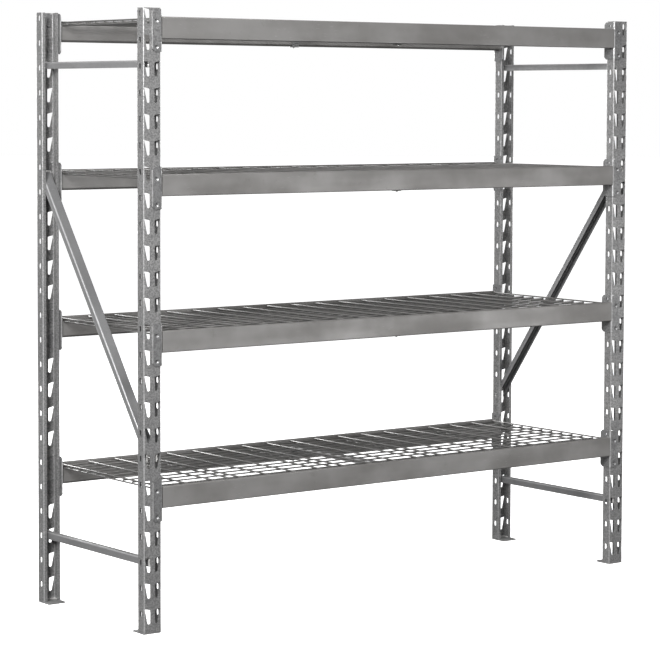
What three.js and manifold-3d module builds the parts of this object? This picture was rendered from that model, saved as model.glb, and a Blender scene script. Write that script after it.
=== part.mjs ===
// Boltless steel shelving: two welded end frames, four shelf levels whose brackets hook into
// tapered post slots, and a welded wire deck lying on each level.
// Millimetres, +Z up, front towards -Y, origin on the floor at the centre of the footprint.
import * as THREE from "three";
import { mergeVertices } from "three/addons/utils/BufferGeometryUtils.js";
import Module from "manifold-3d";

const wasm = await Module();
wasm.setup();

// ---- Driving dimensions ----------------------------------------------------

const WIDTH = 1930; // outside of the posts, left to right
const DEPTH = 603; // web face of the front posts to web face of the back posts
const PITCH = 76.2; // one row of post slots
const ROWS = 24;
const HEIGHT = PITCH * ROWS;
const GAP = 0.3; // clearance between neighbouring pieces

const POST = { web: 60, flange: 35, lip: 12, sheet: 2, bend: 2.5 };
const FOOT = { depth: 65, thick: 4 };

// Web slots, measured from the middle of the web and down from the slot's highest corner.
const SLOT = { belowRow: 0.8, inner: 8, outerTop: 27.2, outerLow: 17.5, slant: 4, low: 42, depth: 45.5 };
const FLANGE_SLOT = { belowRow: 17, tall: 18, wide: 11, fromOpenEdge: 16.5 };

const LEVEL_ROWS = [6, 12, 18, 24]; // slot row that carries each level's upper studs
const STUD_BELOW_ROW = 38; // a seated stud, below its row line
const BEAM_TOP_ABOVE_STUD = 13;
const BEAM = { high: 64, deep: 40, lip: 16, ledge: 12.3, sheet: 1.6, edge: 2, heel: 6 };

const BRACKET = { above: 22, below: 102, sheet: 3, sideLeg: 44, corner: 8, pinHole: 4, pinUp: 10 };
const STUD = { shank: 4.8, clear: 0.4, tail: 6.5, tailTall: 2.5, recess: 5.8, recessFloor: 3.4, recessDeep: 3.6 };

const TOP_BRACE = { high: 20.5, left: 1667, right: 1679 }; // height and centre on each side
const LOW_BRACE = { high: 22.5, left: 210, right: 216 };
const LEVEL_BRACE = { wide: 20, sheet: 1.5, edge: 2 };
const DIAGONAL = { wide: 35, high: 19, sheet: 1.5, edge: 2.5, upperZ: 1323, lowerZ: 525 };
const BRACE_END = 8; // brace end to the post's web face

const WIRE = 5;
const DECK = { below: 2, endGap: 2, longWires: 12, longEdge: 280, pitch: 99, crossWires: 19, every: 3 };

const TIE = { wide: 28, sheet: 2.5, below: 19, wall: 15, tab: 16 };
const SCREW = { head: 4.5, headTall: 2.6, shank: 2.3, hole: 2.6 };

// ---- Sizes that follow -----------------------------------------------------

const POST_X = WIDTH / 2 - POST.web / 2;
const POST_BASE = FOOT.thick + GAP;
const BRACKET_FACE = GAP + BRACKET.sheet; // bracket's outer face, out from the post
const BEAM_FRONT = DEPTH / 2 + BRACKET_FACE;
const BEAM_INNER = BEAM_FRONT - BEAM.deep;
const BEAM_HALF = WIDTH / 2 - POST.web - BRACKET_FACE - GAP;

// ---- Finishes --------------------------------------------------------------

const paint = (color, roughness, metalness) =>
  new THREE.MeshStandardMaterial({ color, roughness, metalness });
const FINISH = {
  post: () => paint(0x8a8a8a, 0.48, 0.55),
  brace: () => paint(0x7f7f80, 0.45, 0.55),
  beam: () => paint(0x868584, 0.42, 0.5),
  bracket: () => paint(0x828282, 0.45, 0.55),
  wire: () => paint(0x8e8c8a, 0.42, 0.55),
  zinc: () => paint(0xb4b4b0, 0.35, 0.8),
};

// ---- Geometry helpers ------------------------------------------------------

const X_AXIS = new THREE.Vector3(1, 0, 0);
const Y_AXIS = new THREE.Vector3(0, 1, 0);
const Z_AXIS = new THREE.Vector3(0, 0, 1);

const pathOf = (points) => points.map(([u, v]) => new THREE.Vector2(u, v));

// An outline with optional holes, pushed a length along its normal.
function extrude(outline, length, holes = []) {
  const shape = new THREE.Shape(pathOf(outline));
  shape.holes = holes.map((hole) => new THREE.Path(pathOf(hole)));
  return new THREE.ExtrudeGeometry(shape, { depth: length, bevelEnabled: false });
}

// The outline is drawn in (Y, Z) and fills from x = start to start + length.
function extrudeX(outline, start, length, holes = []) {
  const turn = new THREE.Matrix4().makeBasis(Y_AXIS, Z_AXIS, X_AXIS);
  return extrude(outline, length, holes).applyMatrix4(turn).translate(start, 0, 0);
}

// The outline is drawn in (X, Z) and fills from y = start to start + length.
function extrudeY(outline, start, length, holes = []) {
  const turn = new THREE.Matrix4().makeBasis(X_AXIS, Z_AXIS, Y_AXIS.clone().negate());
  return extrude(outline, length, holes).applyMatrix4(turn).translate(0, start + length, 0);
}

const rectangle = (u0, v0, u1, v1) => [[u0, v0], [u1, v0], [u1, v1], [u0, v1]];

function polygon(u, v, radius, sides) {
  return Array.from({ length: sides }, (_, i) => {
    const angle = (2 * Math.PI * (i + 0.5)) / sides;
    return [u + radius * Math.cos(angle), v + radius * Math.sin(angle)];
  });
}

// A closed geometry as a solid that can be joined and cut.
function solid(geometry) {
  const bare = geometry.index ? geometry.toNonIndexed() : geometry.clone();
  bare.deleteAttribute("normal");
  bare.deleteAttribute("uv");
  const merged = mergeVertices(bare, 1e-4);
  return new wasm.Manifold(
    new wasm.Mesh({
      numProp: 3,
      vertProperties: new Float32Array(merged.attributes.position.array),
      triVerts: new Uint32Array(merged.index.array),
    }),
  );
}

function geometryOf(made) {
  const mesh = made.getMesh();
  const geometry = new THREE.BufferGeometry();
  geometry.setAttribute("position", new THREE.BufferAttribute(new Float32Array(mesh.vertProperties), 3));
  geometry.setIndex(new THREE.BufferAttribute(new Uint32Array(mesh.triVerts), 1));
  geometry.computeVertexNormals();
  return geometry;
}

const cut = (body, tools) => tools.reduce((left, tool) => left.subtract(solid(tool)), body);
const join = (pieces) => pieces.map(solid).reduce((whole, piece) => whole.add(piece));

// ---- Post and foot ---------------------------------------------------------

// Lipped channel seen from above: web along y = 0, open towards +Y.
function channelOutline({ web, flange, lip, sheet, bend }) {
  const half = web / 2;
  const right = [
    [half - bend, 0],
    [half, bend],
    [half, flange - bend],
    [half - bend, flange],
    [half - lip, flange],
    [half - lip, flange - sheet],
    [half - sheet, flange - sheet],
    [half - sheet, sheet],
  ];
  const left = right.map(([x, y]) => [-x, y]).reverse();
  return [...right, ...left];
}

// Tapered slot in (X, Z): upright inner edge, slanted outer edge, narrow at the bottom.
function slotOutline(rowZ, hand) {
  const top = rowZ - SLOT.belowRow;
  return [
    [SLOT.outerTop, top],
    [SLOT.inner, top - SLOT.slant],
    [SLOT.inner, top - SLOT.low],
    [(SLOT.inner + SLOT.outerLow) / 2, top - SLOT.depth],
    [SLOT.outerLow, top - SLOT.low],
  ].map(([x, z]) => [hand * x, z]);
}

function postGeometry() {
  const blank = extrude(channelOutline(POST), HEIGHT - POST_BASE).translate(0, 0, POST_BASE);
  const slotY = POST.flange - FLANGE_SLOT.fromOpenEdge;
  const tools = [];
  for (let row = 1; row <= ROWS; row += 1) {
    const rowZ = row * PITCH;
    for (const hand of [-1, 1]) {
      tools.push(extrudeY(slotOutline(rowZ, hand), -1, POST.sheet + 2));
      const middleZ = rowZ - FLANGE_SLOT.belowRow;
      const opening = rectangle(
        slotY - FLANGE_SLOT.wide / 2,
        middleZ - FLANGE_SLOT.tall / 2,
        slotY + FLANGE_SLOT.wide / 2,
        middleZ + FLANGE_SLOT.tall / 2,
      );
      const wall = POST.sheet + 2;
      tools.push(extrudeX(opening, (hand * (POST.web - POST.sheet)) / 2 - wall / 2, wall));
    }
  }
  return geometryOf(cut(solid(blank), tools));
}

const footGeometry = () =>
  extrude(rectangle(-POST.web / 2, 0, POST.web / 2, FOOT.depth), FOOT.thick);

// ---- End frame braces ------------------------------------------------------

// Channel open downwards, centred on the origin; the top sheet may be thicker than the sides.
function braceOutline(wide, high, side, top, edge) {
  const half = wide / 2;
  const low = -high / 2;
  const right = [
    [half - side, low],
    [half, low],
    [half, high / 2 - edge],
    [half - edge, high / 2],
  ];
  const left = right.map(([x, z]) => [-x, z]).reverse();
  return [...right, ...left, [side - half, high / 2 - top], [half - side, high / 2 - top]];
}

const braceRun = DEPTH - 2 * BRACE_END;

function levelBraceGeometry(high) {
  const { wide, sheet, edge } = LEVEL_BRACE;
  return extrudeY(braceOutline(wide, high, sheet, sheet, edge), -braceRun / 2, braceRun);
}

// The diagonal falls towards the front; its ends are cut parallel to the post webs.
function diagonalGeometry() {
  const { wide, high, sheet, edge, upperZ, lowerZ } = DIAGONAL;
  const slope = (upperZ - lowerZ) / braceRun;
  const stretch = Math.hypot(1, slope); // upright thickness over square thickness
  const outline = braceOutline(wide, high * stretch, sheet, sheet * stretch, edge);
  const shear = new THREE.Matrix4().makeShear(0, 0, 0, slope, 0, 0);
  const middleZ = (upperZ + lowerZ) / 2;
  return extrudeY(outline, -braceRun / 2, braceRun).applyMatrix4(shear).translate(0, 0, middleZ);
}

// ---- Shelf level: beams, brackets, centre tie ------------------------------

// Closed step section in (Y, Z): face at y = 0, top at z = 0, ledge for the deck behind.
function beamGeometry() {
  const { high, deep, lip, ledge, sheet, edge, heel } = BEAM;
  const outer = [
    [edge, -high],
    [deep - heel, -high],
    [deep, heel - high],
    [deep, -ledge],
    [lip, -ledge],
    [lip, 0],
    [edge, 0],
    [0, -edge],
    [0, edge - high],
  ];
  const inner = [
    [sheet, sheet - high],
    [deep - heel, sheet - high],
    [deep - sheet, heel - high],
    [deep - sheet, -ledge - sheet],
    [lip - sheet, -ledge - sheet],
    [lip - sheet, -sheet],
    [sheet, -sheet],
  ];
  return extrudeX(outer, -BEAM_HALF, 2 * BEAM_HALF, [inner]);
}

// Pressed stud along +Y, buried in the plate: shank through the slot, tail inside the post.
function studGeometry(x, z) {
  const tailStart = POST.sheet + GAP;
  const profile = [
    [0, -BRACKET_FACE + 1],
    [STUD.shank, -BRACKET_FACE + 1],
    [STUD.shank, tailStart],
    [STUD.tail, tailStart],
    [STUD.tail, tailStart + STUD.tailTall],
    [0, tailStart + STUD.tailTall],
  ];
  return new THREE.LatheGeometry(pathOf(profile), 6).translate(x, 0, z);
}

// The cone pressed into the bracket's face at each stud.
function studRecessGeometry(x, z) {
  const over = 0.5;
  const profile = [
    [0, -BRACKET_FACE - over],
    [STUD.recess, -BRACKET_FACE - over],
    [STUD.recess, -BRACKET_FACE],
    [STUD.recessFloor, -BRACKET_FACE + STUD.recessDeep],
    [0, -BRACKET_FACE + STUD.recessDeep],
  ];
  return new THREE.LatheGeometry(pathOf(profile), 6).translate(x, 0, z);
}

// Corner bracket for a front post, beam towards hand * X: one leg on the web, one past the flange.
function bracketGeometry(hand) {
  const { above, below, sheet, sideLeg, corner, pinHole, pinUp } = BRACKET;
  const bend = POST.web / 2 + BRACKET_FACE;
  const faceLeg = [
    [bend, -below],
    [bend, above],
    [corner, above],
    [0, above - corner],
    [0, corner - below],
    [corner, -below],
  ].map(([x, z]) => [hand * x, z]);
  const sideOutline = [
    [-BRACKET_FACE, -below],
    [sideLeg - corner, -below],
    [sideLeg, corner - below],
    [sideLeg, above - corner],
    [sideLeg - corner, above],
    [-BRACKET_FACE, above],
  ];
  const pin = polygon(POST.flange - FLANGE_SLOT.fromOpenEdge, pinUp, pinHole, 8);
  const sideStart = hand > 0 ? bend - sheet : -bend;
  const studX = hand * (SLOT.inner + STUD.clear + STUD.shank);
  const studZ = [-BEAM_TOP_ABOVE_STUD, -BEAM_TOP_ABOVE_STUD - PITCH];
  const made = join([
    extrudeY(faceLeg, -BRACKET_FACE, sheet),
    extrudeX(sideOutline, sideStart, sheet, [pin]),
    ...studZ.map((z) => studGeometry(studX, z)),
  ]);
  return geometryOf(cut(made, studZ.map((z) => studRecessGeometry(studX, z))));
}

// Centre tie: a channel under the deck, legs down the beams' inner faces, tabs below the beams.
function tieGeometry() {
  const { wide, sheet, below, wall, tab } = TIE;
  const leg = BEAM_INNER - GAP;
  const tabEnd = BEAM_INNER + tab;
  const tabTop = -BEAM.high - GAP;
  const right = [
    [leg - sheet, -below - sheet],
    [leg - sheet, tabTop - sheet],
    [tabEnd, tabTop - sheet],
    [tabEnd, tabTop],
    [leg, tabTop],
    [leg, -below],
  ];
  const left = right.map(([y, z]) => [-y, z]).reverse();
  const wallOutline = rectangle(-leg, -below - wall, leg, -below);
  const made = join([
    extrudeX([...right, ...left], -wide / 2, wide),
    extrudeX(wallOutline, -wide / 2, sheet),
    extrudeX(wallOutline, wide / 2 - sheet, sheet),
  ]);
  const holes = [-1, 1].map((end) =>
    extrude(polygon(0, end * (BEAM_INNER + tab / 2), SCREW.hole, 6), 2 * sheet + 1).translate(
      0,
      0,
      tabTop - 2 * sheet,
    ),
  );
  return geometryOf(cut(made, holes));
}

// Head below the tab, shank up through its hole; the origin is under the beam.
function screwGeometry() {
  const headTop = -GAP - TIE.sheet - GAP;
  const profile = [
    [0, headTop - SCREW.headTall],
    [SCREW.head * 0.6, headTop - SCREW.headTall],
    [SCREW.head, headTop - SCREW.headTall * 0.4],
    [SCREW.head, headTop],
    [SCREW.shank, headTop],
    [SCREW.shank, -GAP],
    [0, -GAP],
  ];
  return new THREE.LatheGeometry(pathOf(profile), 6).rotateX(Math.PI / 2);
}

// ---- Wire deck -------------------------------------------------------------

// A flat grid: every long wire, and every third of the short front-to-back wires.
function deckGeometry() {
  const halfX = ((DECK.crossWires - 1) / 2) * DECK.pitch + WIRE / 2;
  const halfY = BEAM_FRONT - BEAM.lip - DECK.endGap;
  const thick = 2 * WIRE;
  const cell = DECK.pitch * DECK.every;
  const longPitch = (2 * DECK.longEdge) / (DECK.longWires - 1);
  const cells = [];
  for (let x = -halfX; x + cell < halfX; x += cell) {
    for (let i = 0; i < DECK.longWires - 1; i += 1) {
      const y = -DECK.longEdge + i * longPitch;
      const opening = rectangle(x + WIRE, y + WIRE / 2, x + cell, y + longPitch - WIRE / 2);
      cells.push(extrude(opening, thick + 2).translate(0, 0, -1));
    }
  }
  const plate = solid(extrude(rectangle(-halfX, -halfY, halfX, halfY), thick));
  return geometryOf(cut(plate, cells)).translate(0, 0, -DECK.below - thick);
}

// ---- Assembly --------------------------------------------------------------

function addMesh(parent, name, geometry, material, place = [0, 0, 0], halfTurn = false) {
  const mesh = new THREE.Mesh(geometry, material);
  mesh.name = name;
  mesh.position.set(...place);
  mesh.rotation.z = halfTurn ? Math.PI : 0;
  parent.add(mesh);
}

const SIDES = [["left", -1], ["right", 1]];
const ENDS = [["front", -1], ["back", 1]];

const rack = new THREE.Group();
const postShape = postGeometry();
const footShape = footGeometry();
const topBrace = levelBraceGeometry(TOP_BRACE.high);
const lowBrace = levelBraceGeometry(LOW_BRACE.high);
const diagonal = diagonalGeometry();

for (const [side, x] of SIDES) {
  const frame = new THREE.Group();
  frame.position.x = x * POST_X;
  for (const [end, y] of ENDS) {
    const place = [0, (y * DEPTH) / 2, 0];
    addMesh(frame, `post_${side}_${end}`, postShape, FINISH.post(), place, y > 0);
    addMesh(frame, `foot_plate_${side}_${end}`, footShape, FINISH.post(), place, y > 0);
  }
  addMesh(frame, `top_brace_${side}`, topBrace, FINISH.brace(), [0, 0, TOP_BRACE[side]]);
  addMesh(frame, `low_brace_${side}`, lowBrace, FINISH.brace(), [0, 0, LOW_BRACE[side]]);
  addMesh(frame, `diagonal_brace_${side}`, diagonal, FINISH.brace(), [0, 0, 0], x > 0);
  rack.add(frame);
}

const beamShape = beamGeometry();
const bracketShape = { 1: bracketGeometry(1), [-1]: bracketGeometry(-1) };
const tieShape = tieGeometry();
const screwShape = screwGeometry();
const deckShape = deckGeometry();

LEVEL_ROWS.forEach((row, index) => {
  const number = index + 1;
  const level = new THREE.Group();
  level.position.z = row * PITCH - STUD_BELOW_ROW + BEAM_TOP_ABOVE_STUD;
  for (const [end, y] of ENDS) {
    addMesh(level, `beam_${number}_${end}`, beamShape, FINISH.beam(), [0, y * BEAM_FRONT, 0], y > 0);
    for (const [side, x] of SIDES) {
      const shape = bracketShape[x * y];
      const place = [x * POST_X, (y * DEPTH) / 2, 0];
      addMesh(level, `bracket_${number}_${side}_${end}`, shape, FINISH.bracket(), place, y > 0);
    }
    const screwPlace = [0, y * (BEAM_INNER + TIE.tab / 2), -BEAM.high];
    addMesh(level, `tie_screw_${number}_${end}`, screwShape, FINISH.zinc(), screwPlace);
  }
  addMesh(level, `centre_tie_${number}`, tieShape, FINISH.brace());
  addMesh(level, `wire_deck_${number}`, deckShape, FINISH.wire());
  rack.add(level);
});

export default rack;
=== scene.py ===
"""Boltless steel shelving: two welded end frames, four hooked shelf levels and their wire decks."""

import logging
import math
from collections.abc import Callable, Sequence
from dataclasses import dataclass, field
from enum import Enum
from functools import lru_cache

import bpy
from mathutils import Matrix, Vector
from mathutils.geometry import delaunay_2d_cdt


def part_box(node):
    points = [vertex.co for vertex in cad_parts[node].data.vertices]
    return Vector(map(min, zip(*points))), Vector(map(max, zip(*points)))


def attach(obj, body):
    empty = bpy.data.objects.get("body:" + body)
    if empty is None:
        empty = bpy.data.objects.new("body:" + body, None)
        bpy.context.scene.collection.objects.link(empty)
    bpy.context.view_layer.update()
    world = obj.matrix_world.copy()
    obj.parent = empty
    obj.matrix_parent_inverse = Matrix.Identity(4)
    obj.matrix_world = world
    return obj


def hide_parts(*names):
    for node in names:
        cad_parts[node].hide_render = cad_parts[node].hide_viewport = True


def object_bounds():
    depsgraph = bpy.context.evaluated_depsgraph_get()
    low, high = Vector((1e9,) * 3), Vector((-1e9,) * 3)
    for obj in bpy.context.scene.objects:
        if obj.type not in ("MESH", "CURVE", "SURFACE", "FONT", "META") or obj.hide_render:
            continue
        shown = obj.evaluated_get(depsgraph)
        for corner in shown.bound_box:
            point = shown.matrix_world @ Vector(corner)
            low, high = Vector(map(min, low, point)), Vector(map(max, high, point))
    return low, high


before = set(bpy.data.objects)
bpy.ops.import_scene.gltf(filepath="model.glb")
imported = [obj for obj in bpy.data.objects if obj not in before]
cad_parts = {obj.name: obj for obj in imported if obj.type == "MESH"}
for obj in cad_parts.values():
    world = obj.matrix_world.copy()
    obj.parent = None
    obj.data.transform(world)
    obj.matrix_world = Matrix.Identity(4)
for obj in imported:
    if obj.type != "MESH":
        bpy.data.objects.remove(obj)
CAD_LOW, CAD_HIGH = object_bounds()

log = logging.getLogger("shelving")

MM = 0.001
QUARTER = math.pi / 2
ROW_PITCH = 76.2 * MM
POST_SHEET = 2 * MM
# Per-point share that lightens bends and cut edges: worn coat plus a painted highlight.
RUB_AND_HIGHLIGHT_ATTRIBUTE = "edge_rub_and_highlight"
FRAME_BODY = "end_frames"

Colour = tuple[float, float, float]
Triple = tuple[float, float, float]
Place = Callable[[Vector, float], Vector]
Socket = bpy.types.NodeSocket
Source = Socket | float | Colour


class Side(Enum):
    """An end frame of the rack and the direction in X that it lies in."""

    LEFT = ("left", -1)
    RIGHT = ("right", 1)


class End(Enum):
    """The front or the back of the rack and the direction in Y that it lies in."""

    FRONT = ("front", -1)
    BACK = ("back", 1)


class Brace(Enum):
    """A brace of an end frame and the start of its node's name."""

    TOP = "top_brace"
    LOW = "low_brace"
    DIAGONAL = "diagonal_brace"


# ---- Shapes ----------------------------------------------------------------


class Shape:
    """The points and faces of one piece before it becomes a mesh, in metres."""

    def __init__(self) -> None:
        """Starts with nothing in it."""
        self.points: list[Vector] = []
        self.faces: list[tuple[int, ...]] = []
        # How much each point is rubbed and lightened by a painted highlight.
        self.rub: list[float] = []

    def add_closed(
        self,
        points: Sequence[Vector],
        faces: Sequence[tuple[int, ...]],
        rub: Sequence[float] = (),
    ) -> "Shape":
        """Adds one closed skin, turned so that its faces look outwards.

        Args:
            points: corners of the skin.
            faces: faces as indices into the points, all wound the same way.
            rub: how much the coat is rubbed at each point, which also lightens it as a painted
                highlight, none if left out.

        Returns:
            This shape.
        """
        start = len(self.points)
        volume = 0.0
        for face in faces:
            first = points[face[0]]
            for second, third in zip(face[1:-1], face[2:]):
                volume += first.dot(points[second].cross(points[third]))
        step = 1 if volume > 0 else -1
        self.points.extend(points)
        self.faces.extend(tuple(start + index for index in face[::step]) for face in faces)
        self.rub.extend(rub if rub else [0.0] * len(points))
        return self

    def add_rings(self, rings: Sequence[Sequence[Vector]], closed: bool = False) -> "Shape":
        """Adds a skin through equal rings of points, with flat ends unless it closes on itself.

        Args:
            rings: rings with the same number of points, in order.
            closed: whether the last ring joins the first.

        Returns:
            This shape.
        """
        sides = len(rings[0])
        points = [point for ring in rings for point in ring]
        faces = []
        spans = len(rings) if closed else len(rings) - 1
        for ring in range(spans):
            near = ring * sides
            far = (ring + 1) % len(rings) * sides
            for side in range(sides):
                after = (side + 1) % sides
                faces.append((near + side, near + after, far + after, far + side))
        if not closed:
            faces.append(tuple(range(sides))[::-1])
            faces.append(tuple(range(len(points) - sides, len(points))))
        return self.add_closed(points, faces)

    def add_turned(
        self,
        profile: Sequence[tuple[float, float]],
        origin: Vector,
        axis: Vector,
        sides: int = 24,
    ) -> "Shape":
        """Adds a turned solid.

        Args:
            profile: radius and height of each step, from one end to the other.
            origin: the point on the axis at height 0.
            axis: direction of the heights.
            sides: flats round the axis.

        Returns:
            This shape.
        """
        turn = axis.to_track_quat("Z", "X").to_matrix()
        return self.add_rings([hoop(origin, turn, *step, sides) for step in profile])

    def add_rod(self, start: Vector, end: Vector, radius: float, sides: int = 12) -> "Shape":
        """Adds a round wire whose cut ends are softly rounded.

        Args:
            start: centre of one end.
            end: centre of the other end.
            radius: radius of the wire.
            sides: flats round the wire.

        Returns:
            This shape.
        """
        length = (end - start).length
        nose = ((0.5, 0.0), (0.84, 0.14), (1.0, 0.45))
        profile = [(radius * share, radius * back) for share, back in nose]
        profile += [(width, length - height) for width, height in reversed(profile)]
        return self.add_turned(profile, start, end - start, sides)

    def add_bead(self, path: Sequence[Vector], radius: float, sides: int = 8) -> "Shape":
        """Adds a weld bead whose thickness ripples along a path.

        Args:
            path: points that the bead follows.
            radius: mean radius of the bead.
            sides: flats round the bead.

        Returns:
            This shape.
        """
        points = refine(path, radius * 0.9)
        rings = []
        last = len(points) - 1
        for index, point in enumerate(points):
            ahead = points[min(index + 1, last)] - points[max(index - 1, 0)]
            turn = ahead.to_track_quat("Z", "X").to_matrix()
            ripple = 1 + 0.14 * math.sin(index * 2.1) + 0.08 * math.sin(index * 5.3 + 1)
            width = radius * ripple * (0.45 if index in (0, last) else 1.0)
            rings.append(hoop(point, turn, width, 0.0, sides))
        return self.add_rings(rings)

    def add_plate(self, outline: Sequence[Vector], low: float, high: float, ease: float) -> "Shape":
        """Adds a flat plate whose upper and lower edges are eased.

        Args:
            outline: the plate's outline in X and Y.
            low: height of the underside.
            high: height of the top.
            ease: how far the edges are rounded over.

        Returns:
            This shape.
        """
        rings = []
        for inset, height in (
            (ease, low),
            (ease * 0.3, low + ease * 0.3),
            (0.0, low + ease),
            (0.0, high - ease),
            (ease * 0.3, high - ease * 0.3),
            (ease, high),
        ):
            rings.append([point.to_3d() + Vector((0, 0, height)) for point in shrunk(outline, inset)])
        return self.add_rings(rings)

    def merge(self, other: "Shape", place: Matrix) -> "Shape":
        """Adds a copy of another shape.

        Args:
            other: the shape to copy.
            place: where the copy goes; a mirroring matrix is allowed.

        Returns:
            This shape.
        """
        start = len(self.points)
        step = -1 if place.determinant() < 0 else 1
        self.points.extend(place @ point for point in other.points)
        self.faces.extend(tuple(start + index for index in face[::step]) for face in other.faces)
        self.rub.extend(other.rub)
        return self

    def to_object(self, name: str, crease: float = math.radians(33)) -> bpy.types.Object:
        """Makes a linked Blender object of the shape.

        Args:
            name: name of the object and its mesh.
            crease: edges that turn more than this stay crisp.

        Returns:
            The new object.
        """
        mesh = bpy.data.meshes.new(name)
        mesh.from_pydata([tuple(point) for point in self.points], [], self.faces)
        mesh.validate()
        mesh.shade_smooth()
        mesh.set_sharp_from_angle(angle=crease)
        rub = mesh.attributes.new(RUB_AND_HIGHLIGHT_ATTRIBUTE, "FLOAT", "POINT")
        rub.data.foreach_set("value", self.rub)
        made = bpy.data.objects.new(name, mesh)
        bpy.context.scene.collection.objects.link(made)
        return made


def refine(path: Sequence[Vector], step: float) -> list[Vector]:
    """Puts extra points on a path so that none are further apart than a step.

    Args:
        path: corner points.
        step: largest distance between neighbours.

    Returns:
        The finer path.
    """
    fine = [path[0]]
    for start, end in zip(path, path[1:]):
        count = max(1, math.ceil((end - start).length / step))
        fine.extend(start.lerp(end, index / count) for index in range(1, count + 1))
    return fine


def rounded(
    corners: Sequence[tuple[float, float, float]], steps: int = 4, support: float = 0.0
) -> list[Vector]:
    """Rounds the corners of a closed outline.

    Args:
        corners: u, v and radius of each corner, in order.
        steps: straight pieces in each rounded corner.
        support: extra points this far outside each rounded corner keep the flats flat.

    Returns:
        The points of the outline.
    """
    points: list[Vector] = []
    for index, (u, v, radius) in enumerate(corners):
        corner = Vector((u, v))
        before = Vector(corners[index - 1][:2]) - corner
        after = Vector(corners[(index + 1) % len(corners)][:2]) - corner
        half = before.angle(after) / 2
        reach = min(radius / math.tan(half), before.length * 0.49, after.length * 0.49)
        if reach < 1e-6:
            points.append(corner)
            continue
        to_before, to_after = before.normalized(), after.normalized()
        centre = corner + (to_before + to_after).normalized() * (reach / math.cos(half))
        spoke = corner + to_before * reach - centre
        last = corner + to_after * reach - centre
        turn = math.atan2(spoke.cross(last), spoke.dot(last))
        if support:
            points.append(corner + to_before * (reach + support))
        for step in range(steps + 1):
            points.append(centre + Matrix.Rotation(turn * step / steps, 2) @ spoke)
        if support:
            points.append(corner + to_after * (reach + support))
    return points


def rectangle(left: float, low: float, right: float, high: float, corner: float = 0.0) -> list[Vector]:
    """Gives the outline of a rectangle with rounded corners."""
    corners = [(left, low, corner), (right, low, corner), (right, high, corner), (left, high, corner)]
    return rounded(corners)


def circle(u: float, v: float, radius: float, sides: int = 24) -> list[Vector]:
    """Gives the points of a circle centred on u, v."""
    angles = (2 * math.pi * side / sides for side in range(sides))
    return [Vector((u + radius * math.cos(angle), v + radius * math.sin(angle))) for angle in angles]


def hoop(origin: Vector, turn: Matrix, radius: float, height: float, sides: int) -> list[Vector]:
    """Gives a circle in space, at a height over the origin along the turned Z axis."""
    return [origin + turn @ Vector((*spot, height)) for spot in circle(0.0, 0.0, radius, sides)]


def shrunk(outline: Sequence[Vector], inset: float) -> list[Vector]:
    """Moves each point of a convex outline inwards.

    Args:
        outline: the outline, wound anticlockwise.
        inset: how far to move.

    Returns:
        The smaller outline.
    """
    moved = []
    for index, point in enumerate(outline):
        along = outline[(index + 1) % len(outline)] - outline[index - 1]
        moved.append(point + Vector((-along.y, along.x)).normalized() * inset)
    return moved


def holds(outline: Sequence[Vector], u: float, v: float) -> bool:
    """Tells whether a point lies inside a closed outline.

    Args:
        outline: the outline.
        u: first coordinate of the point.
        v: second coordinate of the point.

    Returns:
        True if it lies inside.
    """
    inside = False
    previous = outline[-1]
    for point in outline:
        if (point.y > v) != (previous.y > v):
            if u < point.x + (previous.x - point.x) * (v - point.y) / (previous.y - point.y):
                inside = not inside
        previous = point
    return inside


# ---- Folded sheet metal ----------------------------------------------------


@dataclass(frozen=True)
class Section:
    """A bent strip seen end on, followed along the face on its right hand.

    Attributes:
        start: where the strip begins, in the plane of the section.
        heading: direction of the first run, in radians.
        runs: lengths of the flat runs.
        turns: the turn after each run but the last; a positive one turns left.
        radius: radius of the outer side of the bends.
        sheet: thickness of the sheet.
    """

    start: tuple[float, float]
    heading: float
    runs: tuple[float, ...]
    turns: tuple[float, ...]
    radius: float
    sheet: float

    def bends(self) -> list[tuple[float, float]]:
        """Gives where each bend lies.

        Returns:
            Where each bend begins and ends along the followed face.
        """
        spans = []
        along = 0.0
        for run, turn in zip(self.runs, self.turns):
            along += run
            arc = abs(turn) * self._face_radius(turn)
            spans.append((along, along + arc))
            along += arc
        return spans

    def length(self) -> float:
        """Gives the length of the followed face."""
        return self.bends()[-1][1] + self.runs[-1]

    def locate(self, along: float) -> tuple[Vector, Vector]:
        """Finds a place on the followed face.

        Args:
            along: distance from the start.

        Returns:
            The point and the direction that the face looks in.
        """
        point = Vector(self.start)
        direction = Vector((math.cos(self.heading), math.sin(self.heading)))
        left = along
        for run, turn in zip(self.runs, (*self.turns, 0.0)):
            if left <= run or not turn:
                point = point + direction * left
                break
            point = point + direction * run
            left -= run
            radius = self._face_radius(turn)
            arc = abs(turn) * radius
            hand = math.copysign(radius, turn)
            centre = point + Vector((-direction.y, direction.x)) * hand
            swing = Matrix.Rotation(turn * min(left / arc, 1.0), 2)
            point = centre + swing @ (point - centre)
            direction = swing @ direction
            if left <= arc:
                break
            left -= arc
        return point, Vector((direction.y, -direction.x))

    def _face_radius(self, turn: float) -> float:
        """Gives the radius of the followed face in a bend."""
        return self.radius if turn > 0 else self.radius - self.sheet


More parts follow.
